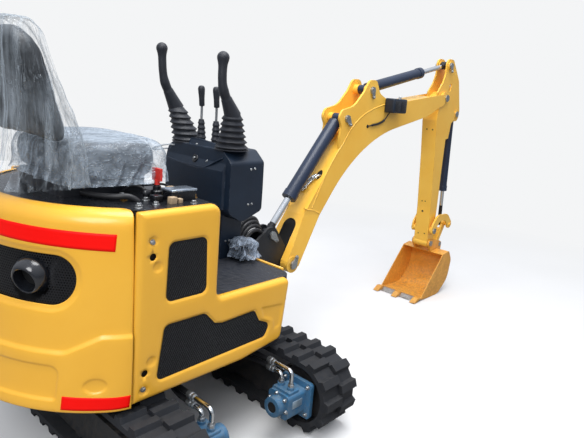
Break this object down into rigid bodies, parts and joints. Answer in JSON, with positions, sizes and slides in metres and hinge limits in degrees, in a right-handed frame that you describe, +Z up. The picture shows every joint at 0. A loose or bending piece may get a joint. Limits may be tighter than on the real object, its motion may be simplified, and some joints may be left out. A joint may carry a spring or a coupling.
{
  "type": "mini excavator",
  "caption": "Small tracked excavator with open seat, rounded tail, control console, dozer blade, boom, arm and toothed bucket",
  "frame": {"origin": "ground level under the slew axis", "axes": "+X along the boom, +Y to the operator's left and to the blade's end of the tracks, +Z up"},
  "size_m": [3.0614, 1.4225, 1.549],
  "materials": {
    "track_rubber": "moulded rubber, matte and dusty",
    "dark_steel": "black satin paint",
    "motor_paint": "steel-blue gloss paint",
    "chrome": "bright hard chrome",
    "arm_paint": "orange-yellow gloss paint",
    "cover_paint": "warm yellow gloss paint with red bands",
    "barrel_paint": "black gloss paint",
    "pin_steel": "bare steel",
    "grille_black": "black perforated sheet",
    "cast_iron": "cast",
    "deck_black": "black satin paint",
    "seat_cover": "dark cover under clear film",
    "mat_rubber": "ribbed rubber",
    "console_plastic": "satin moulded plastic",
    "lever_black": "satin plastic",
    "boot_rubber": "moulded rubber",
    "pedal_steel": "bare steel",
    "key_red": "red plastic"
  },
  "bodies": {
    "undercarriage": {"undercarriage_frame": "dark_steel", "slew_ring": "dark_steel", "track_left": "track_rubber", "track_right": "track_rubber", "track_wheels": "dark_steel", "track_rollers": "dark_steel", "travel_motor_left": "motor_paint", "travel_motor_right": "motor_paint", "motor_pipes": "chrome", "blade_pins": "pin_steel"},
    "upper": {"platform": "dark_steel", "rear_cover": "cover_paint", "side_cover_left": "cover_paint", "side_cover_right": "cover_paint", "side_grilles": "grille_black", "exhaust_muffler": "dark_steel", "engine_block": "cast_iron", "deck_plate": "deck_black", "seat_base": "deck_black", "seat_rails": "deck_black", "seat_cushion": "seat_cover", "seat_back": "seat_cover", "floor_mat": "mat_rubber", "front_trim": "cover_paint", "console": "console_plastic", "control_levers": "lever_black", "lever_boots": "boot_rubber", "foot_pedal": "pedal_steel", "deck_fittings": "deck_black", "isolator_key": "key_red", "boom_bracket": "dark_steel", "bracket_pins": "pin_steel"},
    "blade": {"dozer_blade": "arm_paint"},
    "blade_barrel": {"blade_cylinder_barrel": "barrel_paint"},
    "blade_rod": {"blade_cylinder_rod": "chrome"},
    "boom": {"boom": "arm_paint", "boom_pins": "pin_steel", "work_lamp": "deck_black"},
    "boom_barrel": {"boom_cylinder_barrel": "barrel_paint"},
    "boom_rod": {"boom_cylinder_rod": "chrome"},
    "arm": {"arm": "arm_paint", "arm_pins": "pin_steel"},
    "arm_barrel": {"arm_cylinder_barrel": "barrel_paint"},
    "arm_rod": {"arm_cylinder_rod": "chrome"},
    "bucket_barrel": {"bucket_cylinder_barrel": "barrel_paint"},
    "bucket_rod": {"bucket_cylinder_rod": "chrome"},
    "rocker": {"rocker_links": "arm_paint"},
    "link": {"bucket_link": "arm_paint"},
    "bucket": {"bucket": "arm_paint", "bucket_lip": "pin_steel", "bucket_teeth": "pin_steel", "bucket_pins": "pin_steel"}
  },
  "joints": [
    {"name": "slew", "type": "hinge", "parent": "undercarriage", "child": "upper", "pos_m": [0, 0, 0.318], "axis": [0, 0, 1], "continuous": true},
    {"name": "blade_lift", "type": "hinge", "parent": "undercarriage", "child": "blade", "pos_m": [0, 0.345, 0.13], "axis": [1, 0, 0], "range_deg": [-25, 18]},
    {"name": "blade_cylinder_swing", "type": "hinge", "parent": "undercarriage", "child": "blade_barrel", "pos_m": [0, 0.205, 0.228], "axis": [1, 0, 0], "range_deg": [-16.7, 12.1]},
    {"name": "blade_cylinder_stroke", "type": "slide", "parent": "blade_barrel", "child": "blade_rod", "axis": [0, 0.9843, -0.1765], "range_m": [-0.0217, 0.0293]},
    {"name": "boom_lift", "type": "hinge", "parent": "upper", "child": "boom", "pos_m": [0.69, 0, 0.459], "axis": [0, -1, 0], "range_deg": [-60, 38]},
    {"name": "boom_cylinder_swing", "type": "hinge", "parent": "boom", "child": "boom_barrel", "pos_m": [1.04, 0, 1.157], "axis": [0, 1, 0], "range_deg": [-0.8, 1]},
    {"name": "boom_cylinder_stroke", "type": "slide", "parent": "boom_barrel", "child": "boom_rod", "axis": [-0.6388, 0, -0.7694], "range_m": [-0.1157, 0.1815]},
    {"name": "arm_swing", "type": "hinge", "parent": "boom", "child": "arm", "pos_m": [2.073, 0, 1.307], "axis": [0, 1, 0], "range_deg": [-60, 40]},
    {"name": "arm_cylinder_swing", "type": "hinge", "parent": "boom", "child": "arm_barrel", "pos_m": [1.234, 0, 1.308], "axis": [0, 1, 0], "range_deg": [-1.4, 1.1]},
    {"name": "arm_cylinder_stroke", "type": "slide", "parent": "arm_barrel", "child": "arm_rod", "axis": [0.9741, 0, 0.226], "range_m": [-0.1996, 0.1337]},
    {"name": "bucket_curl", "type": "hinge", "parent": "arm", "child": "bucket", "pos_m": [2.124, 0, 0.341], "axis": [0, 1, 0], "range_deg": [-60, 60]},
    {"name": "rocker_swing", "type": "hinge", "parent": "arm", "child": "rocker", "pos_m": [2.12, 0, 0.432], "axis": [0, 1, 0], "range_deg": [-43.3, 43.3]},
    {"name": "link_swing", "type": "hinge", "parent": "rocker", "child": "link", "pos_m": [2.338, 0, 0.453], "axis": [0, 1, 0], "range_deg": [-26.6, 26.6]},
    {"name": "bucket_cylinder_swing", "type": "hinge", "parent": "arm", "child": "bucket_barrel", "pos_m": [2.272, 0, 1.212], "axis": [0, 1, 0], "range_deg": [-1.2, 1.2]},
    {"name": "bucket_cylinder_stroke", "type": "slide", "parent": "bucket_barrel", "child": "bucket_rod", "axis": [0.0866, 0, -0.9962], "range_m": [-0.1562, 0.1562]}
  ],
  "couplings": [
    {"joint": "blade_cylinder_swing", "follows": "blade_lift", "ratio": 0.64628},
    {"joint": "blade_cylinder_stroke", "follows": "blade_lift", "m_per_rad": -0.06262},
    {"joint": "boom_cylinder_swing", "follows": "boom_lift", "ratio": -0.00859},
    {"joint": "boom_cylinder_stroke", "follows": "boom_lift", "m_per_rad": -0.17141},
    {"joint": "arm_cylinder_swing", "follows": "arm_swing", "ratio": 0.01488},
    {"joint": "arm_cylinder_stroke", "follows": "arm_swing", "m_per_rad": 0.18868},
    {"joint": "rocker_swing", "follows": "bucket_curl", "ratio": 0.7134},
    {"joint": "link_swing", "follows": "bucket_curl", "ratio": -0.43423},
    {"joint": "bucket_cylinder_swing", "follows": "bucket_curl", "ratio": -0.01245},
    {"joint": "bucket_cylinder_stroke", "follows": "bucket_curl", "m_per_rad": 0.1473}
  ]
}
